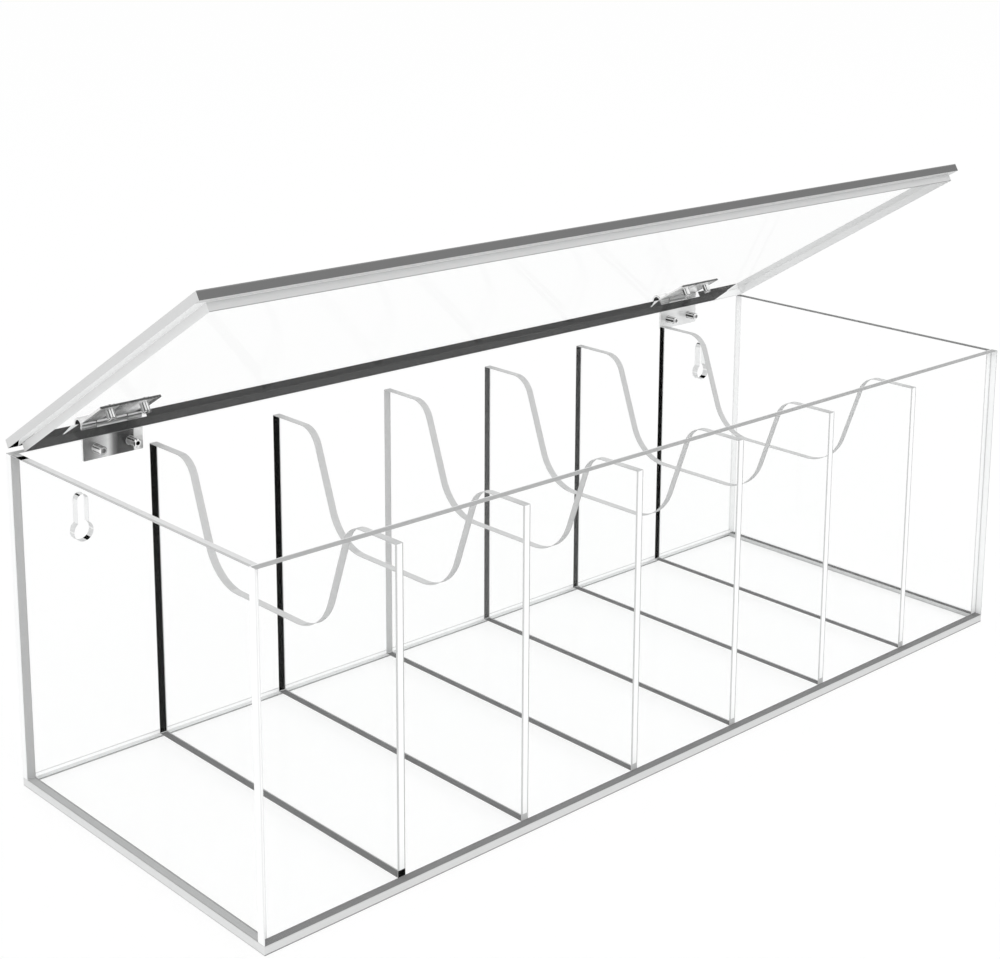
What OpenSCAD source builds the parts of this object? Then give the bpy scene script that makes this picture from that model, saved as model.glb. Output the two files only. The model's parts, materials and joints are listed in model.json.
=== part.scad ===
// Clear belt organizer box: seven compartments in a row under a clear lid on two butt hinges.
// Sizes are in millimetres and angles in degrees. The origin is at the bottom centre of the box,
// +X runs along its length, +Y points to the hinges and +Z up. The lid is drawn part open.

/* [Box] */
// Outside length of the box, along X
box_length = 360; // [300:5:440]
// Outside depth of the box, from its front face to its back face
box_depth = 140; // [120:5:180]
// Height of the walls' top edges above the table
box_height = 117; // [90:1:150]
// Thickness of the bottom sheet
bottom_t = 3; // [2:0.5:5]
// Thickness of the four wall sheets
wall_t = 3; // [2:0.5:5]

/* [Dividers] */
// Number of dividers, one fewer than the compartments
divider_count = 6; // [3:1:8]
// Thickness of a divider sheet
divider_t = 3; // [2:0.5:5]
// Room between the dividers' top edges and the insert of the closed lid
divider_room = 3.5; // [1:0.5:15]
// Level stretch of a divider's top edge at each end of its finger scoop
scoop_flat = 17; // [10:1:22]
// Depth of the finger scoop
scoop_depth = 40; // [25:1:60]
// Radius of the rounded shoulders at the top of the scoop
shoulder_r = 9; // [4:0.5:12]
// Radius in the two lower corners of the scoop
scoop_corner_r = 18; // [8:1:22]
// Lean of the scoop's sides from the upright
scoop_lean = 20; // [5:1:30]

/* [Lid] */
// Angle by which the lid is drawn open
lid_open = 31; // [0:1:90]
// Thickness of the lid's upper sheet
lid_t = 3; // [2:0.5:5]
// Thickness of the smaller sheet glued under the lid
insert_t = 3; // [2:0.5:5]
// Distance from the box's front face back to the lid's front edge, with the lid closed. What is
// past the front wall's thickness is a slot for fingertips.
lid_front_gap = 6; // [0.5:0.5:12]
// Distance from the box's back face in to the lid's back edge
lid_back_gap = 0.3; // [0.1:0.1:1]
// Least gap all round between the insert and the walls, with the lid closed
insert_gap = 0.5; // [0.4:0.1:2]
// Distance from the lid's front edge back to the insert's
insert_front_in = 2.5; // [0:0.5:6]

/* [Hinges] */
// Distance from an end of the box to the middle of the hinge near it
hinge_inset = 39; // [25:0.5:60]
// Length of a hinge along its pin
hinge_length = 23; // [18:1:30]
// Outer diameter of the rolled knuckles
barrel_d = 5; // [3.5:0.25:6]
// Thickness of a leaf
leaf_t = 0.8; // [0.5:0.1:1]
// Length of each of the lid leaf's two knuckles
lid_knuckle_length = 5.5; // [4:0.25:6.5]
// Steel beyond the screw holes, out to a leaf's far edge
leaf_margin = 4; // [3:0.5:6]
// How much wider a lid leaf is than a wall leaf, all of it between the barrel and the screws
lid_leaf_extra = 5.5; // [0:0.5:6]

/* [Screws] */
// Diameter of a screw's shank
screw_d = 3; // [2:0.25:3.5]
// Diameter of a screw's head
screw_head_d = 5; // [4.5:0.1:5.5]
// Height of a screw's head
screw_head_h = 0.7; // [0.6:0.1:1.5]
// Length of a wall screw's shank that stands out past the back wall
screw_end_out = 2; // [0.5:0.5:2]
// Length of a lid screw's shank that goes into the insert, past the lid's upper sheet
screw_bite = 0.5; // [0.25:0.25:1.5]
// Distance between a leaf's two screws
screw_spacing = 13; // [9:0.5:15]

/* [Keyholes] */
// Distance from an end of the box to the keyhole near it
keyhole_inset = 25; // [15:1:60]
// Distance from the walls' top edges down to the middle of a keyhole's round entry
keyhole_drop = 32; // [28:1:50]
// Diameter of a keyhole's round entry, which a screw head passes
keyhole_entry_d = 7; // [6:0.5:10]
// Width of a keyhole's slot, which a screw's neck slides up
keyhole_slot_w = 4; // [3:0.25:4.5]
// Distance from the middle of the entry up to the middle of the slot's round end
keyhole_rise = 11; // [7:0.5:14]

/* [Hidden] */
$fn = 48;
// Overrun of every cut past the faces that it opens
over = 1;
// Clearance round the pin in the knuckles that turn on it, and in the one that holds it
pin_run_gap = 0.05;
pin_hold_gap = 0.01;
// Depth of the pin's ends inside the barrel
pin_end_in = 1.5;
// Side gap between neighbouring knuckles, and gap from a leaf's edge to the other leaf's knuckles
knuckle_side_gap = 0.2;
knuckle_edge_gap = 0.3;
// Radius of a leaf's two far corners
leaf_corner_r = 0.5;
// Clearance of a screw in its holes, and the least gap from a screw to what swings past it
screw_hole_gap = 0.05;
screw_swing_gap = 0.5;
// Chamfer on a screw's end, the cup bored into that end, and the rounding of its head
screw_chamfer = 0.4;
cup_share = 0.5;
cup_depth = 1;
head_round = 0.35;
// Cross recess in a screw's head
recess_length = 2.8;
recess_w = 0.6;
recess_depth = 0.4;

clear_sheet = [0.88, 0.93, 0.95];
clear_alpha = 0.35;
polished_steel = [0.76, 0.77, 0.79];

wall_height = box_height - bottom_t;
inner_length = box_length - 2 * wall_t;
inner_depth = box_depth - 2 * wall_t;
divider_top = box_height - insert_t - divider_room;
divider_pitch = (inner_length - divider_count * divider_t) / (divider_count + 1) + divider_t;
insert_front_y = -box_depth / 2 + max(lid_front_gap + insert_front_in, wall_t + insert_gap);
insert_depth = inner_depth / 2 - insert_gap - insert_front_y;

barrel_r = barrel_d / 2;
// The knuckles are rolled from the leaf's sheet, so the pin fills what that leaves
pin_r = barrel_r - leaf_t - pin_run_gap;
screw_r = screw_d / 2;
cup_r = cup_share * screw_r;
axis_y = box_depth / 2 + barrel_r;
lid_top = box_height + lid_t;
// The lid's leaves meet their knuckles half way up
axis_z = lid_top + leaf_t / 2;
mid_knuckle_length = hinge_length - 2 * lid_knuckle_length - 2 * knuckle_side_gap;

// Distance from the hinge axis to the screws. The wall's screws stay under the closed insert.
wall_screw_reach = axis_z - box_height + insert_t + screw_swing_gap + screw_r;
lid_screw_reach = wall_screw_reach + lid_leaf_extra;

// Geometry of the finger scoop, in the plane of a divider, for the side at +Y
shoulder_y = inner_depth / 2 - scoop_flat;
scoop_floor = divider_top - scoop_depth;
fillet_share = 1 - sin(scoop_lean);
shoulder_end_y = shoulder_y - shoulder_r * cos(scoop_lean);
shoulder_end_z = divider_top - shoulder_r * fillet_share;
// The lower radius is limited so that the two corners at most meet in the middle
corner_r_room = shoulder_end_y - tan(scoop_lean) * (scoop_depth - shoulder_r * fillet_share);
corner_r = min(scoop_corner_r, corner_r_room / (cos(scoop_lean) - tan(scoop_lean) * fillet_share));
corner_end_z = scoop_floor + corner_r * fillet_share;
corner_end_y = shoulder_end_y - tan(scoop_lean) * (shoulder_end_z - corner_end_z);
corner_y = corner_end_y - corner_r * cos(scoop_lean);

SIDES = ["left", "right"];

// X of something that lies a given distance in from the left or the right end of the box
function from_end(side, inset) = (side == "left" ? -1 : 1) * (box_length / 2 - inset);

module clear() {
    color(clear_sheet, clear_alpha) children();
}

module steel() {
    color(polished_steel) children();
}

// Turns what is drawn for the closed lid about the hinge axis
module lid_pose() {
    translate([0, axis_y, axis_z])
        rotate([-lid_open, 0, 0])
            translate([0, -axis_y, -axis_z])
                children();
}

// Both screw places of a hinge, along X
module at_screws() {
    for (place = [-1, 1])
        translate([place * screw_spacing / 2, 0, 0])
            children();
}

// A cylinder along X, centred on the origin
module rod(r, length) {
    rotate([0, 90, 0])
        cylinder(r = r, h = length, center = true);
}

module bottom_panel() {
    clear()
        translate([-box_length / 2, -box_depth / 2, 0])
            cube([box_length, box_depth, bottom_t]);
}

// A wall sheet over the full length, with its front face at the given Y
module long_wall(front_y) {
    translate([-box_length / 2, front_y, bottom_t])
        cube([box_length, wall_t, wall_height]);
}

module front_wall() {
    clear()
        long_wall(-box_depth / 2);
}

// Outline of a keyhole, with its entry's centre at the origin
module keyhole_outline() {
    circle(d = keyhole_entry_d);
    translate([-keyhole_slot_w / 2, 0])
        square([keyhole_slot_w, keyhole_rise]);
    translate([0, keyhole_rise])
        circle(d = keyhole_slot_w);
}

module keyhole_cut(side) {
    translate([from_end(side, keyhole_inset), box_depth / 2 + over, box_height - keyhole_drop])
        rotate([90, 0, 0])
            linear_extrude(wall_t + 2 * over)
                keyhole_outline();
}

// Holes for a wall leaf's screws, from the back face inwards
module wall_screw_holes(side) {
    translate([from_end(side, hinge_inset), box_depth / 2 + over, axis_z - wall_screw_reach])
        at_screws()
            rotate([90, 0, 0])
                cylinder(r = screw_r + screw_hole_gap, h = wall_t + 2 * over);
}

module back_wall() {
    clear()
        difference() {
            long_wall(box_depth / 2 - wall_t);
            for (side = SIDES) {
                keyhole_cut(side);
                wall_screw_holes(side);
            }
        }
}

module side_wall(side) {
    clear()
        translate([from_end(side, wall_t / 2) - wall_t / 2, -inner_depth / 2, bottom_t])
            cube([wall_t, inner_depth, wall_height]);
}

// The finger scoop's outline at one side, out to its shoulder
module half_scoop() {
    difference() {
        union() {
            polygon([
                [0, scoop_floor],
                [corner_y, scoop_floor],
                [corner_end_y, corner_end_z],
                [shoulder_end_y, shoulder_end_z],
                [shoulder_y, divider_top],
                [shoulder_y, divider_top + over],
                [0, divider_top + over]
            ]);
            translate([corner_y, scoop_floor + corner_r])
                circle(r = corner_r);
        }
        translate([shoulder_y, divider_top - shoulder_r])
            circle(r = shoulder_r);
    }
}

module divider(number) {
    first_x = -inner_length / 2 + divider_pitch - divider_t;
    clear()
        translate([first_x + (number - 1) * divider_pitch, 0, 0])
            rotate([90, 0, 90])
                linear_extrude(divider_t)
                    difference() {
                        translate([-inner_depth / 2, bottom_t])
                            square([inner_depth, divider_top - bottom_t]);
                        half_scoop();
                        mirror([1, 0])
                            half_scoop();
                    }
}

// Holes for both lid leaves' screws through the closed lid's upper sheet and into the insert
module lid_screw_holes() {
    into_insert = screw_bite + screw_hole_gap;
    for (side = SIDES)
        translate([from_end(side, hinge_inset), axis_y - lid_screw_reach, box_height - into_insert])
            at_screws()
                cylinder(r = screw_r + screw_hole_gap, h = into_insert + lid_t + over);
}

module lid_panel() {
    clear()
        lid_pose()
            difference() {
                translate([-box_length / 2, -box_depth / 2 + lid_front_gap, box_height])
                    cube([box_length, box_depth - lid_front_gap - lid_back_gap, lid_t]);
                lid_screw_holes();
            }
}

module lid_insert() {
    clear()
        lid_pose()
            difference() {
                translate([-inner_length / 2 + insert_gap, insert_front_y, box_height - insert_t])
                    cube([inner_length - 2 * insert_gap, insert_depth, insert_t]);
                lid_screw_holes();
            }
}

// Flat of a leaf in the XY plane: it hangs down from the given height, far corners rounded
module leaf_outline(top, reach) {
    translate([-hinge_length / 2, -reach + leaf_corner_r])
        square([hinge_length, reach - leaf_corner_r + top]);
    translate([-hinge_length / 2 + leaf_corner_r, -reach])
        square([hinge_length - 2 * leaf_corner_r, leaf_corner_r + over]);
    for (end = [-1, 1])
        translate([end * (hinge_length / 2 - leaf_corner_r), -reach + leaf_corner_r])
            circle(r = leaf_corner_r);
}

// A leaf that hangs down from the hinge axis, with its back at the given distance from the axis
// towards -Y and its screws at the given reach. Each knuckle is [middle, length] along X, and the
// bore gap goes round the pin.
module leaf(knuckles, bore_gap, back, screw_reach) {
    difference() {
        union() {
            translate([0, -back + leaf_t, 0])
                rotate([90, 0, 0])
                    linear_extrude(leaf_t)
                        difference() {
                            leaf_outline(-barrel_r - knuckle_edge_gap, screw_reach + leaf_margin);
                            translate([0, -screw_reach])
                                at_screws()
                                    circle(r = screw_r + screw_hole_gap);
                        }
            for (knuckle = knuckles)
                translate([knuckle[0], 0, 0]) {
                    rod(barrel_r, knuckle[1]);
                    translate([-knuckle[1] / 2, -back, -barrel_r - knuckle_edge_gap])
                        cube([knuckle[1], leaf_t, barrel_r + knuckle_edge_gap]);
                }
        }
        rod(pin_r + bore_gap, hinge_length + 2 * over);
    }
}

module wall_leaf(side) {
    steel()
        translate([from_end(side, hinge_inset), axis_y, axis_z])
            leaf([[0, mid_knuckle_length]], pin_hold_gap, barrel_r, wall_screw_reach);
}

module lid_leaf(side) {
    knuckle_x = (hinge_length - lid_knuckle_length) / 2;
    steel()
        lid_pose()
            translate([from_end(side, hinge_inset), axis_y, axis_z])
                mirror([0, 1, -1])
                    leaf(
                    [for (end = [-1, 1]) [end * knuckle_x, lid_knuckle_length]],
                    pin_run_gap,
                    axis_z - lid_top,
                    lid_screw_reach
                );
}

module hinge_pin(side) {
    steel()
        translate([from_end(side, hinge_inset), axis_y, axis_z])
            rod(pin_r, hinge_length - 2 * pin_end_in);
}

// A low-headed screw that points down, with the underside of its head at the origin
module screw(shank) {
    head_r = screw_head_d / 2;
    difference() {
        rotate_extrude() {
            polygon([
                [0, -shank + cup_depth],
                [cup_r, -shank + cup_depth],
                [cup_r, -shank],
                [screw_r - screw_chamfer, -shank],
                [screw_r, -shank + screw_chamfer],
                [screw_r, 0],
                [head_r, 0],
                [head_r, screw_head_h - head_round],
                [head_r - head_round, screw_head_h],
                [0, screw_head_h]
            ]);
            translate([head_r - head_round, screw_head_h - head_round])
                circle(r = head_round);
        }
        for (turn = [0, 90])
            rotate([0, 0, turn])
                translate([-recess_length / 2, -recess_w / 2, screw_head_h - recess_depth])
                    cube([recess_length, recess_w, recess_depth + over]);
    }
}

module wall_screws(side) {
    steel()
        translate([from_end(side, hinge_inset), box_depth / 2 + leaf_t, axis_z - wall_screw_reach])
            at_screws()
                rotate([-90, 0, 0])
                    screw(leaf_t + wall_t + screw_end_out);
}

module lid_screws(side) {
    steel()
        lid_pose()
            translate([from_end(side, hinge_inset), axis_y - lid_screw_reach, lid_top + leaf_t])
                at_screws()
                    screw(leaf_t + lid_t + screw_bite);
}

bottom_panel();
front_wall();
back_wall();
for (side = SIDES)
    side_wall(side);
for (i = [1 : divider_count])
    divider(i);
lid_panel();
lid_insert();
for (side = SIDES) {
    wall_leaf(side);
    lid_leaf(side);
    hinge_pin(side);
    wall_screws(side);
    lid_screws(side);
}
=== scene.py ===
import json
import math

import bmesh
import bpy
from mathutils import Matrix, Vector


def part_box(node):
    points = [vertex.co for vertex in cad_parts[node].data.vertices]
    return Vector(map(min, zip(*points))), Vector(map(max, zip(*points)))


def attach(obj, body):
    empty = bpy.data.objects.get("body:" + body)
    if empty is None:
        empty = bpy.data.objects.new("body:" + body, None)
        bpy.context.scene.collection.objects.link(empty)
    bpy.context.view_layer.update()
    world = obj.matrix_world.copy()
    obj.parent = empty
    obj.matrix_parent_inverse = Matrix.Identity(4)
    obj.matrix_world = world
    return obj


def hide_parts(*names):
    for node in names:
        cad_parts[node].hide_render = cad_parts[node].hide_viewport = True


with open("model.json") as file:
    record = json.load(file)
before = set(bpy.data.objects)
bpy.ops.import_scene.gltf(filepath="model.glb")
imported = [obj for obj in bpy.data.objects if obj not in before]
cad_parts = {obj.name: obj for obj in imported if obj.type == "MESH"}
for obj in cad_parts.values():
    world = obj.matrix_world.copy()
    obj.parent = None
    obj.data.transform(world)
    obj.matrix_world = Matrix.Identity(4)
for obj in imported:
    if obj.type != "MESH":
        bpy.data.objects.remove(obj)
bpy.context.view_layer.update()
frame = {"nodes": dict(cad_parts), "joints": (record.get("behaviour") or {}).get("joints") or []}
mm = 0.001


def addObject(name, data):
    made = bpy.data.objects.new(name, data)
    bpy.context.scene.collection.objects.link(made)
    return made


# Camera at the photograph's angle, with the picture taken to be 1000 by 959 pixels
view = {
    "imageWidth": 1000.0,
    "imageHeight": 959.0,
    "sensor": 36.0,
    "focalPixels": 1863.63,
    "centrePixelX": 592.0,  # where the lens axis meets the picture
    "centrePixelY": 272.0,
    "place": (-453.57 * mm, -473.2 * mm, 302.93 * mm),
    "turn": (77.982, -0.834, -44.67),
    "nearest": 0.01,
    "farthest": 50.0,
}


def makeCamera():
    data = bpy.data.cameras.new("photoCamera")
    data.sensor_width = view["sensor"]
    data.lens = view["focalPixels"] / view["imageWidth"] * view["sensor"]
    data.shift_x = (view["imageWidth"] / 2 - view["centrePixelX"]) / view["imageWidth"]
    data.shift_y = (view["centrePixelY"] - view["imageHeight"] / 2) / view["imageWidth"]
    data.clip_start = view["nearest"]
    data.clip_end = view["farthest"]
    camera = addObject("photoCamera", data)
    camera.location = view["place"]
    camera.rotation_euler = [math.radians(angle) for angle in view["turn"]]
    bpy.context.scene.camera = camera
    print("camera placed")


# Shader maths: a socket in a small class, so that expressions on it add their Math nodes
class Value:
    def __init__(self, look, socket):
        self.look = look
        self.socket = socket

    def maths(self, operation, first, second):
        return self.look.node("ShaderNodeMath", {"operation": operation}, {0: first, 1: second})

    def __add__(self, other):
        return self.maths("ADD", self, other)

    def __radd__(self, other):
        return self.maths("ADD", other, self)

    def __sub__(self, other):
        return self.maths("SUBTRACT", self, other)

    def __rsub__(self, other):
        return self.maths("SUBTRACT", other, self)

    def __mul__(self, other):
        return self.maths("MULTIPLY", self, other)

    def __rmul__(self, other):
        return self.maths("MULTIPLY", other, self)


class Look:
    def __init__(self, owner, outputKind="ShaderNodeOutputMaterial"):
        owner.use_nodes = True
        self.owner = owner
        self.outputKind = outputKind
        self.tree = owner.node_tree
        self.tree.nodes.clear()

    def node(self, kind, settings=None, inputs=None, output=0):
        made = self.tree.nodes.new(kind)
        for name, value in (settings or {}).items():
            if name == "stops":
                self.setStops(made.color_ramp, value)
            else:
                setattr(made, name, value)
        for name, value in (inputs or {}).items():
            if isinstance(value, Value):
                self.tree.links.new(value.socket, made.inputs[name])
            else:
                made.inputs[name].default_value = value
        return Value(self, made.outputs[output])

    def setStops(self, ramp, stops):
        while len(ramp.elements) < len(stops):
            ramp.elements.new(1.0)
        for element, (place, colour) in zip(ramp.elements, stops):
            element.position = place
            element.color = colour

    def place(self):
        return self.node("ShaderNodeTexCoord", output="Object")

    def noise(self, scale, detail, stretch=(1.0, 1.0, 1.0)):
        mapped = self.node("ShaderNodeMapping", {}, {"Vector": self.place(), "Scale": stretch})
        inputs = {"Vector": mapped, "Scale": scale, "Detail": detail}
        return self.node("ShaderNodeTexNoise", {}, inputs, "Fac")

    def ramp(self, factor, stops):
        return self.node("ShaderNodeValToRGB", {"stops": stops}, {"Fac": factor})

    def mixColour(self, factor, first, second):
        return self.node("ShaderNodeMix", {"data_type": "RGBA"}, {0: factor, 6: first, 7: second}, 2)

    def bump(self, height, distance):
        inputs = {"Height": height, "Distance": distance, "Strength": 1.0}
        return self.node("ShaderNodeBump", {}, inputs)

    def finish(self, shader):
        out = self.tree.nodes.new(self.outputKind)
        self.tree.links.new(shader.socket, out.inputs["Surface"])
        return self.owner


def newLook(name):
    return Look(bpy.data.materials.new(name))


def grey(level, tint=(1.0, 1.0, 1.0)):
    # A grey as a screen shows it, from 0 to 1, turned by the sRGB curve into a shader's linear numbers
    linear = ((level + 0.055) / 1.055) ** 2.4
    return (linear * tint[0], linear * tint[1], linear * tint[2], 1.0)


# Clear sheet faces: light goes straight on, with the gloss of a polished surface
clearFace = {
    "through": (0.9993, 1.0, 0.9997, 1.0),
    "ior": 1.49,
    "glossShare": 0.1,
    "gloss": 0.02,
    "glossSpread": 0.03,
    "waveScale": 9.0,
    "waveDetail": 2.0,
    "waveHeight": 0.01 * mm,
}


def makeClearFace():
    look = newLook("clearAcrylicFace")
    waves = look.noise(clearFace["waveScale"], clearFace["waveDetail"])
    normal = look.bump(waves, clearFace["waveHeight"])
    through = look.node("ShaderNodeBsdfTransparent", {}, {"Color": clearFace["through"]})
    roughness = waves * clearFace["glossSpread"] + clearFace["gloss"]
    gloss = look.node("ShaderNodeBsdfGlossy", {}, {"Roughness": roughness, "Normal": normal})
    inside = look.node("ShaderNodeNewGeometry", output="Backfacing")
    mirrored = look.node("ShaderNodeFresnel", {}, {"IOR": clearFace["ior"]})
    share = mirrored * (1 - inside) * clearFace["glossShare"]
    return look.finish(look.node("ShaderNodeMixShader", {}, {0: share, 1: through, 2: gloss}))


# Polished edges of the sheets, one painted reflection grey for each way that they face
edgeFinish = {
    "tint": (0.995, 1.0, 1.0),
    "cloudScale": 18.0,
    "cloudDetail": 3.0,
    "cloudShare": 0.02,
    "ior": 1.0,  # no gloss of the base: all of it is in the coat, which only the outside has
    "coat": 0.12,
    "coatRoughness": 0.15,
    "coatFrom": 0.1,  # darker greys than this are reflections, without a gloss of their own
    "roughness": 0.22,
    "roughnessSpread": 0.12,
    "sawScale": 900.0,
    "sawDetail": 2.0,
    "sawStretch": (0.2, 0.2, 0.2),
    "sawHeight": 0.01 * mm,
}


def makePaintedEdge(level, endLevel=None, start=0.0, end=1.0):
    # A painted reflection grey. With a second level, the grey goes from the one to the other between two
    # places along Y
    look = newLook("polishedEdge%02d" % round(level * 100) + ("" if endLevel is None else "Fading"))
    clouds = look.noise(edgeFinish["cloudScale"], edgeFinish["cloudDetail"])
    darker = grey(level * (1 - edgeFinish["cloudShare"]), edgeFinish["tint"])
    lighter = grey(level * (1 + edgeFinish["cloudShare"]), edgeFinish["tint"])
    colour = look.mixColour(clouds, darker, lighter)
    if endLevel is not None:
        y = look.node("ShaderNodeSeparateXYZ", {}, {0: look.place()}, 1)
        along = look.ramp((y - start) * (1 / (end - start)), [(0.0, grey(0.0)), (1.0, grey(1.0))])
        colour = look.mixColour(along, colour, grey(endLevel, edgeFinish["tint"]))
    saw = look.noise(edgeFinish["sawScale"], edgeFinish["sawDetail"], edgeFinish["sawStretch"])
    coat = edgeFinish["coat"] if level > edgeFinish["coatFrom"] else 0.0
    outside = 1 - look.node("ShaderNodeNewGeometry", output="Backfacing")
    shader = look.node("ShaderNodeBsdfPrincipled", {}, {
        "Base Color": colour,
        "Roughness": clouds * edgeFinish["roughnessSpread"] + edgeFinish["roughness"],
        "IOR": edgeFinish["ior"],
        "Coat Weight": outside * coat,
        "Coat Roughness": edgeFinish["coatRoughness"],
        "Normal": look.bump(saw, edgeFinish["sawHeight"]),
    })
    return look.finish(shader)


paintedEdgeLooks = {}


def paintedEdgeLook(level):
    if level not in paintedEdgeLooks:
        paintedEdgeLooks[level] = makePaintedEdge(level)
    return paintedEdgeLooks[level]


# Sheets: the CAD node's own shape, merged, drawn in a hair from its glued neighbours and with
# its edges broken. Tones are painted reflections: the greys of the narrow faces by the way they face
# when closed. A striped tone lists where each stripe starts, as a share of the sheet's thickness, and its
# grey.
sheetShape = {
    "merge": 0.002 * mm,
    "glueLine": 0.015 * mm,
    "arris": 0.2 * mm,
    "arrisSegments": 2,
    "sharpAngle": 30.0,
    "flatAngle": 0.5,
}

# Cosines of the angle between a face and a way, from which it counts as turned that far towards it
turned = {
    "exactly": 0.9999, "fully": 0.999, "squarely": 0.99, "mostly": 0.7, "partly": 0.2, "barely": 0.01,
}

lidJoint = frame["joints"][0]
lidAxis = Vector(lidJoint["pos_m"])
lidOpen = math.radians(-lidJoint["range_deg"][0])
ways = {
    "left": Vector((-1, 0, 0)), "right": Vector((1, 0, 0)),
    "front": Vector((0, -1, 0)), "back": Vector((0, 1, 0)),
    "bottom": Vector((0, 0, -1)), "top": Vector((0, 0, 1)),
}
sides = ("left", "right")


def turnAbout(centre, matrix):
    return Matrix.Translation(centre) @ matrix @ Matrix.Translation(-centre)


# The turn that takes a piece of the lid from where it is drawn to where it lies when closed
closeLid = turnAbout(lidAxis, Matrix.Rotation(lidOpen, 4, "X"))


def closedCopy(node, body):
    made = bmesh.new()
    made.from_mesh(frame["nodes"][node].data)
    bmesh.ops.remove_doubles(made, verts=made.verts, dist=sheetShape["merge"])
    bmesh.ops.dissolve_limit(
        made, angle_limit=math.radians(sheetShape["flatAngle"]), verts=made.verts, edges=made.edges
    )
    if body == "lid":
        bmesh.ops.transform(made, matrix=closeLid, verts=made.verts)
    return made


def breakEdges(made, width, segments):
    sharp = [
        edge for edge in made.edges
        if edge.is_manifold and edge.calc_face_angle() > math.radians(sheetShape["sharpAngle"])
    ]
    bmesh.ops.bevel(
        made, geom=sharp, offset=width, offset_type="OFFSET", segments=segments,
        profile=0.5, affect="EDGES", material=-1, clamp_overlap=True,
    )
    made.normal_update()


def cutAt(made, place, way):
    everything = made.verts[:] + made.edges[:] + made.faces[:]
    bmesh.ops.bisect_plane(made, geom=everything, plane_co=place, plane_no=way)


def finishedPiece(made, name, body, node, materials):
    if body == "lid":
        bmesh.ops.transform(made, matrix=closeLid.inverted(), verts=made.verts)
    for face in made.faces:
        face.normal_update()
    mesh = bpy.data.meshes.new(name)
    for material in materials:
        mesh.materials.append(material)
    made.to_mesh(mesh)
    made.free()
    piece = addObject(name, mesh)
    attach(piece, body)
    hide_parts(node)


def isFlat(normal):
    return max(abs(part) for part in normal) > turned["exactly"]


def closedBox(node, body):
    # The lowest and the highest corner of the box round a piece, as it lies with the lid closed
    turn = closeLid if body == "lid" else Matrix.Identity(4)
    places = [turn @ vert.co for vert in frame["nodes"][node].data.vertices]
    low = Vector(min(place[axis] for place in places) for axis in range(3))
    high = Vector(max(place[axis] for place in places) for axis in range(3))
    return low, high


def sheetPiece(node, body, wide, tones, cuts=(), special=None):
    # The faces turned to wide are clear. The cuts are planes, each a place and a way, that part faces
    # for the function special. It gives a face a tone, None for clear, or "plain" to use tones.
    made = closedCopy(node, body)
    for vert in made.verts:
        vert.co -= vert.normal * vert.calc_shell_factor() * sheetShape["glueLine"]
    breakEdges(made, sheetShape["arris"], sheetShape["arrisSegments"])
    low, high = closedBox(node, body)
    across = max(range(3), key=lambda part: abs(wide[part]))
    thickness = (high - low)[across]
    striped = [tone for tone in tones.values() if isinstance(tone, tuple)]
    starts = {start for tone in striped for start, level in tone if start > 0}
    for place, way in list(cuts) + [(low + (high - low) * start, wide) for start in sorted(starts)]:
        cutAt(made, place, way)
    made.normal_update()
    materials = [clearMaterial]

    def slotOf(tone, share):
        if tone is None:
            return 0
        if isinstance(tone, tuple):
            tone = [level for start, level in tone if start <= max(share, 0)][-1]
        material = tone if isinstance(tone, bpy.types.Material) else paintedEdgeLook(tone)
        if material not in materials:
            materials.append(material)
        return materials.index(material)

    names = [name for name in tones if name in ways]
    for face in made.faces:
        way = face.normal
        face.smooth = not isFlat(way)
        centre = face.calc_center_median()
        share = (centre - low)[across] / thickness
        tone = special(centre, way) if special else "plain"
        if tone != "plain":
            face.material_index = slotOf(tone, share)
        elif abs(way.dot(wide)) > turned["fully"]:
            face.material_index = 0
        else:
            best = max(names, key=lambda name: way.dot(ways[name]))
            if way.dot(ways[best]) < turned["squarely"] and "curve" in tones:
                best = "curve"
            face.material_index = slotOf(tones[best], share)
    finishedPiece(made, node + "Sheet", body, node, materials)


# Painted reflections: each sheet's edge greys and dark stripes, by the way its faces face
sheets = {
    "bottom_panel": ("box", ways["top"], {
        "front": ((0, 0.56), (0.16, 0.84)), "left": ((0, 0.78), (0.14, 0.88)),
        "right": ((0, 0.9), (0.15, 1.0)), "back": ((0, 0.7), (0.14, 1.0)),
    }),
    "front_wall": ("box", ways["front"], {
        "bottom": 0.52, "top": ((0, 0.68), (0.8, 0.88)),
        "left": ((0, 0.93), (0.12, 0.99)), "right": ((0, 0.84), (0.12, 0.98), (0.88, 0.84)),
    }),
    "right_wall": ("box", ways["left"], {
        "bottom": ((0, 0.6), (0.15, 0.45), (0.8, 0.95)), "top": ((0, 0.5), (0.7, 0.95)),
        "front": ((0, 0.84), (0.12, 0.98), (0.88, 0.84)), "back": 0.94,
    }),
}

# The left wall's top edge starts with a short dark reflection of the lid's back edge
leftWall = {
    "tones": {
        "bottom": ((0, 0.64), (0.12, 0.71), (0.86, 0.64)), "top": ((0, 0.76), (0.3, 0.86)),
        "front": ((0, 0.99), (0.86, 0.92)), "back": 0.71,
    },
    "markStart": 60.0 * mm,
    "markEnd": 63.5 * mm,
    "mark": 0.0,
}


def leftWallTone(centre, way):
    marked = way.z > turned["mostly"] and leftWall["markStart"] < centre.y < leftWall["markEnd"]
    return leftWall["mark"] if marked else "plain"


# Painted reflections: the dividers' edge greys, with near-black painted reflections on some back edges
# and feet
dividerTones = {
    "bottom": 0.47, "top": 0.82, "front": ((0, 0.8), (0.2, 0.98), (0.86, 0.6)), "curve": 0.78,
    "backs": (0.06, 0.06, 0.76, 0.36, 0.29, 0.06),  # the back edges differ from the first to the last
    "feet": (0.05, 0.78, 0.78, 0.78, 0.78, 0.78),  # and so do the lowest parts of the front edges
    "footHeight": 2.4 * mm,
}
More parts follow.
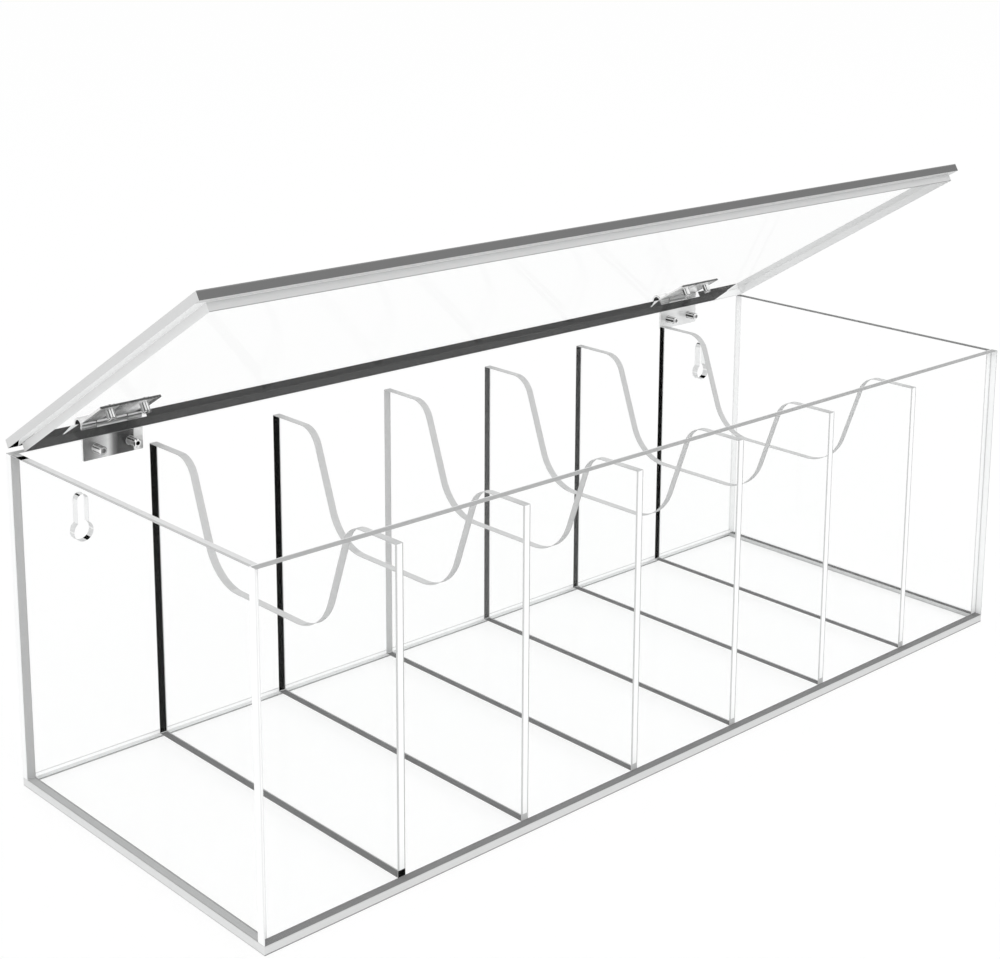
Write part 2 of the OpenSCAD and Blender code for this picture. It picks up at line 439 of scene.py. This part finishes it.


# The back wall's keyholes: a painted pale reflection round the cut, with a painted dark reflection, a
# dark glint, on opposite corners
backWall = {
    "tones": {
        "bottom": ((0, 0.9), (0.2, 0.99), (0.82, 0.84)),
        "top": 0.85, "left": 0.97, "right": 0.95, "curve": 0.87,
    },
    "glint": 0.0,
    "glintWay": Vector((0.5, 0.0, -0.87)),
    "glintSpread": 0.992,
    "holeReach": 9.0 * mm,  # the screw holes lie this near to a hinge's middle
    "holeHalf": 2.0 * mm,
}


def backWallTone(centre, way):
    if isFlat(way) and abs(way.y) > turned["squarely"]:
        return None
    if abs(way.y) < turned["mostly"] and abs(centre.z - screwHeight) < backWall["holeHalf"]:
        if any(abs(centre.x - hinge.x) < backWall["holeReach"] for hinge in hingeMiddles):
            return None  # a screw hole
    # a painted dark reflection on two opposite corners of the keyhole's curve
    if not isFlat(way) and abs(way.y) < turned["partly"]:
        if abs(way.dot(backWall["glintWay"])) > backWall["glintSpread"]:
            return backWall["glint"]
    return "plain"


# The lid's two sheets: the rim that stands out past the insert has a painted reflection grey of its
# own on each side, and the back edge is clear over each hinge, so that the barrel shows through it.
# The dark back edge is a painted reflection, which ends at the right in a diagonal past which a pale
# painted reflection lies. The rim's back left corner has a painted dark triangle.
lidSheets = {
    "panelTones": {"front": ((0, 0.44), (0.88, 0.52)), "left": 0.83, "right": 0.845, "back": 0.26},
    "insertTones": {"front": ((0, 0.6), (0.08, 0.8)), "left": 0.88, "right": 0.845, "back": 0.27},
    "rimTones": {"front": 0.82, "left": 0.94, "back": 0.26, "corner": 0.0},
    "cornerLength": 9.0 * mm,  # the dark triangle at the back left corner
    "hingeWindow": 12.5 * mm,
    "wedgeWidth": 22.0 * mm,
    "wedge": 0.96,
    "rightBack": 0.89,  # the right edge grows paler towards the hinges
    "fadeFrom": -40.0 * mm,
    "fadeTo": 45.0 * mm,
    "glint": 0.98,  # a bright line on the back edge, at the left of each hinge
    "glintLength": 8.0 * mm,
    "glintWidth": 3.0 * mm,
    "edgeReach": 1.0 * mm,  # an upright curved face further in than this is in a screw hole
}


def pastDiagonal(centre):
    return (centre - lidHigh).dot(diagonalWay) > 0


def glintPlanes(hinge):
    # The two slanting lines between which a hinge's glint, a painted highlight, lies, as planes from its
    # lower point
    tip = Vector((hinge.x - lidSheets["hingeWindow"] - lidSheets["glintLength"], lidHigh.y, lidLow.z))
    rise = lidHigh.z - lidLow.z
    ends = (lidSheets["glintLength"], lidSheets["glintLength"] - lidSheets["glintWidth"])
    return [(tip, Vector((-rise, 0.0, end)).normalized()) for end in ends]


def inGlint(centre):
    for hinge in hingeMiddles:
        (tip, lower), (tip, upper) = glintPlanes(hinge)
        if (centre - tip).dot(lower) > 0 > (centre - tip).dot(upper) and centre.x < hinge.x:
            return centre.x > tip.x
    return False


def inScrewHole(centre, way, low, high):
    insets = (centre.x - low.x, high.x - centre.x, centre.y - low.y, high.y - centre.y)
    return not isFlat(way) and abs(way.z) < turned["barely"] and min(insets) > lidSheets["edgeReach"]


def lidEdgeTone(centre, way):
    if way.x > turned["mostly"]:
        return rightEdgeLook
    return lidSheets["wedge"] if way.y > turned["mostly"] and pastDiagonal(centre) else "plain"


def lidPanelTone(centre, way):
    if abs(way.z) > turned["fully"]:
        if way.z > 0:
            return None
        low, high = insertBox
        # the underside's rim: painted reflection greys on each side, and a painted dark triangle at the
        # back left corner
        if (centre - cornerStart).dot(cornerWay) > 0:
            return lidSheets["rimTones"]["corner"]
        if centre.y < low.y:
            return lidSheets["rimTones"]["front"]
        if centre.x < low.x:
            return lidSheets["rimTones"]["left"]
        if centre.y > high.y:
            return lidSheets["wedge"] if pastDiagonal(centre) else lidSheets["rimTones"]["back"]
        if centre.x > high.x:
            return rightEdgeLook
        return None
    if inScrewHole(centre, way, lidLow, lidHigh):
        return None
    if way.y > turned["mostly"]:
        if any(abs(centre.x - hinge.x) < lidSheets["hingeWindow"] for hinge in hingeMiddles):
            return None
        # a painted highlight: a bright line on the back edge, at the left of each hinge
        if inGlint(centre):
            return lidSheets["glint"]
    return lidEdgeTone(centre, way)


def insertTone(centre, way):
    return None if inScrewHole(centre, way, *insertBox) else lidEdgeTone(centre, way)


insertBox = closedBox("lid_insert", "lid")
lidLow, lidHigh = closedBox("lid_panel", "lid")
cornerStart = Vector((insertBox[0].x, lidHigh.y, 0.0))
cornerWay = Vector((-lidSheets["cornerLength"], insertBox[0].x - lidLow.x, 0.0)).normalized()
diagonalWay = Vector((lidHigh.z - insertBox[0].z, 0.0, -lidSheets["wedgeWidth"])).normalized()
hingeMiddles = [sum(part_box(side + "_wall_leaf"), Vector()) / 2 for side in sides]
screwHeight = (sum(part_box("left_wall_screws"), Vector()) / 2).z


def makeDividers():
    nodes = sorted(name for name in frame["nodes"] if name.startswith("divider_"))
    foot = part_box(nodes[0])[0] + dividerTones["footHeight"] * ways["top"]
    for node, back, footTone in zip(nodes, dividerTones["backs"], dividerTones["feet"]):
        tones = {name: dividerTones[name] for name in ("bottom", "top", "front", "curve")}
        tones["back"] = back

        def footOf(centre, way, tone=footTone):
            return tone if way.y < -turned["mostly"] and centre.z < foot.z else "plain"

        sheetPiece(node, "box", ways["left"], tones, [(foot, ways["top"])], footOf)


def makeSheets():
    for node, (body, wide, tones) in sheets.items():
        sheetPiece(node, body, wide, tones)
    sheetPiece("back_wall", "box", ways["back"], backWall["tones"], special=backWallTone)
    ends = [(Vector((0.0, leftWall[end], 0.0)), ways["back"]) for end in ("markStart", "markEnd")]
    sheetPiece("left_wall", "box", ways["left"], leftWall["tones"], ends, leftWallTone)
    low, high = insertBox
    diagonal = (lidHigh, diagonalWay)
    cuts = [
        (cornerStart, cornerWay), (low, ways["left"]), (low, ways["front"]),
        (high, ways["right"]), (high, ways["back"]), diagonal,
    ]
    for hinge in hingeMiddles:
        cuts += glintPlanes(hinge)
        for step in (-1, 1):
            cuts.append((hinge + step * lidSheets["hingeWindow"] * ways["right"], ways["right"]))
    sheetPiece("lid_panel", "lid", ways["top"], lidSheets["panelTones"], cuts, lidPanelTone)
    sheetPiece("lid_insert", "lid", ways["top"], lidSheets["insertTones"], [diagonal], insertTone)
    makeDividers()
    print("sheets made")


# Polished steel of the hinges and screws, with painted reflections: dark and bright bands in the base
# colour, as bright steel shows them
steel = {
    "arris": 0.12 * mm,
    "arrisSegments": 2,
    "brushScale": 700.0,
    "brushDetail": 2.0,
    "brushStretch": (0.12, 1.0, 1.0),
    "brushHeight": 0.02 * mm,
    "brushShare": 0.05,
    "brushGrey": 0.35,
    "metallic": {"left": 0.42, "right": 0.18},
    "metallicSpread": 0.1,
    "roughness": 0.12,
    "roughnessSpread": 0.16,
    # Painted reflections: greys of a rod by the height that its surface faces, from straight down to
    # straight up
    "barrelReflectionStops": {
        "left": [
            (0.0, 0.55), (0.14, 0.9), (0.24, 0.97), (0.28, 0.45), (0.32, 0.93), (0.47, 0.97),
            (0.53, 0.35), (0.57, 0.85), (0.66, 0.97), (0.8, 0.75), (0.9, 0.95), (1.0, 0.85),
        ],
        "right": [
            (0.0, 0.8), (0.2, 0.98), (0.3, 0.98), (0.33, 0.45), (0.36, 0.98), (0.6, 0.98),
            (0.64, 0.5), (0.67, 0.98), (1.0, 0.98),
        ],
    },
    # Painted reflections: greys of a screw's shank by how far its surface faces to the right: the plain
    # screws, those of which only bright painted lines show, and those of which only dark painted lines
    # show
    "shankReflectionStops": {
        "plain": [
            (0.0, 0.7), (0.07, 0.9), (0.12, 0.25), (0.18, 0.2), (0.22, 0.92), (0.34, 0.97), (0.38, 0.15),
            (0.42, 0.15), (0.46, 0.97), (0.66, 0.95), (0.72, 0.2), (0.78, 0.25), (0.84, 0.95), (1.0, 0.6),
        ],
        "faint": [
            (0.0, 1.0), (0.025, 1.0), (0.045, 0.45), (0.09, 0.45), (0.12, 1.0), (0.18, 1.0),
            (0.22, 0.66), (1.0, 0.66),
        ],
        "marked": [
            (0.0, 0.2), (0.025, 0.2), (0.045, 0.97), (0.09, 0.97), (0.12, 0.2), (0.17, 0.2),
            (0.21, 0.95), (1.0, 0.95),
        ],
    },
    # The looks of their end faces and cups, by the same kinds: painted reflections, and painted shade in
    # the plain screws' cups
    "screwEnds": {
        "plain": ("brightSteel", "paintedBoreShadeSteel"),
        "faint": ("faintEndSteel", "faintEndSteel"),
        "marked": ("brightSteel", "paleCupSteel"),
    },
    # The kinds of the left and the right screw of each pair
    "screwKinds": {
        "left_wall_screws": ("faint", "plain"), "left_lid_screws": ("plain", "plain"),
        "right_wall_screws": ("marked", "marked"), "right_lid_screws": ("marked", "marked"),
    },
    # Painted reflections: greys along each leaf from its left end to its right
    "leafReflectionStops": {
        "left_wall": [
            (0.0, 0.43), (0.14, 0.55), (0.32, 0.82), (0.41, 0.93), (0.5, 0.5), (0.58, 0.26), (0.84, 0.36),
            (0.86, 0.94), (1.0, 0.94),
        ],
        "right_wall": [(0.0, 0.9), (0.4, 0.95), (0.8, 0.92), (1.0, 0.95)],
        "left_lid": [
            (0.0, 0.85), (0.08, 0.68), (0.2, 0.78), (0.3, 0.9), (0.34, 0.55), (0.5, 0.74), (0.62, 0.8),
            (0.68, 0.98), (0.84, 0.98), (0.9, 0.6), (1.0, 0.55),
        ],
        "right_lid": [
            (0.0, 1.0), (0.2, 0.95), (0.3, 1.0), (0.38, 0.7), (0.44, 1.0), (0.7, 0.96), (0.9, 1.0),
            (0.95, 0.7), (1.0, 0.9),
        ],
    },
    "wanderScale": 120.0,
    "wanderDetail": 1.0,
    "wander": 0.04,
    # Greys of the looks that have one each: painted reflections, bright and dark, and the painted shade
    # of the bore
    "even": {
        "brightSteel": 0.97, "paintedDarkReflectionSteel": 0.22, "outlineSteel": 0.45, "pinEndSteel": 0.3,
        "paintedBoreShadeSteel": 0.05, "faintEndSteel": 0.68, "paleCupSteel": 0.75,
    },
    "evenScale": 300.0,
    "evenDetail": 2.0,
    "evenDarker": 0.9,
    "evenLighter": 1.05,
    "boreReach": 1.8 * mm,  # a face this near to the pin's axis is in the bore
    "barrelSlack": 0.05 * mm,  # one up to this far outside the barrel's radius is on the barrel
    "cupReach": 0.85 * mm,  # and one this near to a screw's axis is in its cup or recess
    "lidLeafUnder": 0.3,  # a lid leaf's rim is dark where it faces the front by more than this cosine
}


def steelShader(look, colour, side="left"):
    brush = look.noise(steel["brushScale"], steel["brushDetail"], steel["brushStretch"])
    shader = look.node("ShaderNodeBsdfPrincipled", {}, {
        "Base Color": look.mixColour(brush * steel["brushShare"], colour, grey(steel["brushGrey"])),
        "Metallic": brush * steel["metallicSpread"] + steel["metallic"][side],
        "Roughness": brush * steel["roughnessSpread"] + steel["roughness"],
        "Normal": look.bump(brush, steel["brushHeight"]),
    })
    return look.finish(shader)


def greyStops(stops):
    return [(place, grey(level)) for place, level in stops]


def makeRoundSteel(name, part, stops, side="left"):
    # Painted reflections: bands by the way that the surface faces, so that a rod has dark and bright
    # lines along it
    look = newLook(name)
    normal = look.node("ShaderNodeTexCoord", output="Normal")
    facing = look.node("ShaderNodeSeparateXYZ", {}, {0: normal}, part)
    return steelShader(look, look.ramp(facing * 0.5 + 0.5, greyStops(stops)), side)


def makeLeafSteel(name, middle, length, side):
    # Painted reflections: bands along X, with borders that wander a little
    look = newLook(name + "LeafSteel")
    x = look.node("ShaderNodeSeparateXYZ", {}, {0: look.place()}, 0)
    share = (x - (middle - length / 2)) * (1 / length)
    wander = look.noise(steel["wanderScale"], steel["wanderDetail"])
    wander = wander * steel["wander"] - steel["wander"] / 2
    return steelShader(look, look.ramp(share + wander, greyStops(steel["leafReflectionStops"][name])), side)


def makeEvenSteel(name):
    look = newLook(name)
    level = steel["even"][name]
    clouds = look.noise(steel["evenScale"], steel["evenDetail"])
    darker, lighter = grey(level * steel["evenDarker"]), grey(level * steel["evenLighter"])
    return steelShader(look, look.mixColour(clouds, darker, lighter))


def farFrom(face, place, along):
    # Distance of a face's farthest corner from the line through a place along a way
    return max((vert.co - place).cross(along).length for vert in face.verts)


def leafLook(face, body, wide, barrelReach):
    # Painted light by face: painted shade in the bore, painted reflections on the barrel, its ends and
    # the leaf, and a painted dark reflection on the lid leaf's rim where it faces the front
    way = face.normal
    fromAxis = farFrom(face, lidAxis, ways["right"])
    if fromAxis < steel["boreReach"]:
        return "paintedBoreShadeSteel"
    if fromAxis < barrelReach:
        if abs(way.x) > turned["squarely"]:
            return "brightSteel"
        return "outlineSteel" if abs(way.x) > turned["partly"] else "barrel"
    if abs(way.dot(wide)) > turned["squarely"]:
        above = face.calc_center_median().z > lidAxis.z - barrelReach
        return "brightSteel" if body == "box" and above else "leaf"
    return "paintedDarkReflectionSteel" if body == "lid" and way.y < -steel["lidLeafUnder"] else "brightSteel"


def leafPiece(side, leaf, body):
    node = side + "_" + leaf + "_leaf"
    made = closedCopy(node, body)
    breakEdges(made, steel["arris"], steel["arrisSegments"])
    looks = {"leaf": leafSteels[side + "_" + leaf], "barrel": barrelSteels[side]}
    for name in ("brightSteel", "paintedDarkReflectionSteel", "outlineSteel", "paintedBoreShadeSteel"):
        looks[name] = evenSteels[name]
    names = list(looks)
    wide = ways["back"] if body == "box" else ways["top"]
    barrelReach = barrelRadius + steel["barrelSlack"]
    if body == "box":
        cutAt(made, lidAxis - barrelReach * ways["top"], ways["top"])
    for face in made.faces:
        face.smooth = not isFlat(face.normal)
        face.material_index = names.index(leafLook(face, body, wide, barrelReach))
    finishedPiece(made, node + "Steel", body, node, list(looks.values()))


def rodPiece(node, body, along, places, looks):
    # A pin or a pair of screws. A pin's looks are its shank's and its ends', a screw's are those and
    # the one of its cup and recess, and the right screw's follow the left one's.
    made = closedCopy(node, body)
    breakEdges(made, steel["arris"], steel["arrisSegments"])
    each = len(looks) // len(places)
    shank, end, cup = range(3)
    for face in made.faces:
        face.smooth = not isFlat(face.normal)
        reaches = [farFrom(face, place, along) for place in places]
        kind = end if abs(face.normal.dot(along)) > turned["squarely"] else shank
        # the cup and recess: painted shade in the plain screws, a painted reflection grey in the others
        if each > cup and min(reaches) < steel["cupReach"]:
            kind = cup
        face.material_index = each * reaches.index(min(reaches)) + kind
    finishedPiece(made, node + "Steel", body, node, looks)


def makeHinges():
    for side in sides:
        leafPiece(side, "wall", "box")
        leafPiece(side, "lid", "lid")
        pinLooks = [barrelSteels[side], evenSteels["pinEndSteel"]]
        rodPiece(side + "_hinge_pin", "box", ways["right"], [lidAxis], pinLooks)
        for leaf, body, along, across in (
            ("_wall", "box", ways["back"], ways["top"]), ("_lid", "lid", ways["top"], ways["back"]),
        ):
            node = side + leaf + "_screws"
            low, high = closedBox(node, body)
            size = high - low
            halfGap = (size.x - size.dot(across)) / 2  # from the middle of the pair to either screw
            places = [(low + high) / 2 + step * halfGap * ways["right"] for step in (-1, 1)]
            looks = [look for kind in steel["screwKinds"][node] for look in screwLooks[kind]]
            rodPiece(node, body, along, places, looks)
    print("hinges made")


# Floor, world and lamps
stageSetup = {
    "white": (1.0, 1.0, 1.0, 1.0),
    "seenBy": ("Camera", "Glossy", "Transmission"),
    "floorHalf": 20.0,
    "floorDrop": 0.05 * mm,
    "floorGlow": 0.85,
    "worldStrength": 0.94,
    "seenStrength": 1.0,
    "lamps": [  # name, place, size and power
        ("keyLamp", (-1.2, -1.6, 1.9), 1.6, 9.0),
        ("fillLamp", (1.9, -0.9, 1.5), 1.8, 5.0),
    ],
    "transparentBounces": 64,  # a line of sight crosses up to thirty faces
}


def seenDirectly(look):
    # 1 where a thing is seen, straight, mirrored or through a clear body, and 0 for the light it gives
    share = 0.0
    for kind in stageSetup["seenBy"]:
        ray = look.node("ShaderNodeLightPath", output="Is %s Ray" % kind)
        share = look.node("ShaderNodeMath", {"operation": "MAXIMUM"}, {0: share, 1: ray})
    return share


def makeFloor():
    look = newLook("whiteFloor")
    diffuse = look.node("ShaderNodeBsdfDiffuse", {}, {"Color": stageSetup["white"]})
    inputs = {"Color": stageSetup["white"], "Strength": stageSetup["seenStrength"]}
    glow = look.node("ShaderNodeEmission", {}, inputs)
    share = seenDirectly(look) * stageSetup["floorGlow"]
    material = look.finish(look.node("ShaderNodeMixShader", {}, {0: share, 1: diffuse, 2: glow}))
    made = bmesh.new()
    bmesh.ops.create_grid(made, x_segments=1, y_segments=1, size=stageSetup["floorHalf"])
    bmesh.ops.translate(made, verts=made.verts, vec=(0, 0, -stageSetup["floorDrop"]))
    mesh = bpy.data.meshes.new("floor")
    made.to_mesh(mesh)
    made.free()
    mesh.materials.append(material)
    addObject("floor", mesh)


def makeWorld():
    look = Look(bpy.data.worlds.new("whiteStudio"), "ShaderNodeOutputWorld")
    shares = {0: seenDirectly(look)}
    for place, strength in ((1, "worldStrength"), (2, "seenStrength")):
        inputs = {"Color": stageSetup["white"], "Strength": stageSetup[strength]}
        shares[place] = look.node("ShaderNodeBackground", {}, inputs)
    bpy.context.scene.world = look.finish(look.node("ShaderNodeMixShader", {}, shares))


def makeLamps():
    for name, place, size, power in stageSetup["lamps"]:
        data = bpy.data.lights.new(name, "AREA")
        data.shape = "DISK"
        data.size = size
        data.energy = power
        lamp = addObject(name, data)
        lamp.location = place
        lamp.rotation_euler = (-Vector(place)).to_track_quat("-Z", "Y").to_euler()


makeCamera()
clearMaterial = makeClearFace()
# the lid's right edge: a painted reflection grey that grows paler towards the hinges
rightEdgeLook = makePaintedEdge(
    lidSheets["panelTones"]["right"], lidSheets["rightBack"], lidSheets["fadeFrom"], lidSheets["fadeTo"]
)
makeSheets()
barrelSteels = {
    side: makeRoundSteel(side + "BarrelSteel", 2, steel["barrelReflectionStops"][side], side) for side in sides
}
evenSteels = {name: makeEvenSteel(name) for name in steel["even"]}
screwLooks = {}
for kind, (end, cup) in steel["screwEnds"].items():
    shank = makeRoundSteel(kind + "ShankSteel", 0, steel["shankReflectionStops"][kind])
    screwLooks[kind] = [shank, evenSteels[end], evenSteels[cup]]
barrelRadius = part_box("left_wall_leaf")[1].y - lidAxis.y
leafSteels = {}
for side, middle in zip(sides, hingeMiddles):
    low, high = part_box(side + "_wall_leaf")
    for leaf in ("_wall", "_lid"):
        leafSteels[side + leaf] = makeLeafSteel(side + leaf, middle.x, high.x - low.x, side)
makeHinges()
makeFloor()
makeWorld()
makeLamps()
bpy.context.scene.view_settings.view_transform = "Standard"
bpy.context.scene.cycles.transparent_max_bounces = stageSetup["transparentBounces"]
print("studio set")
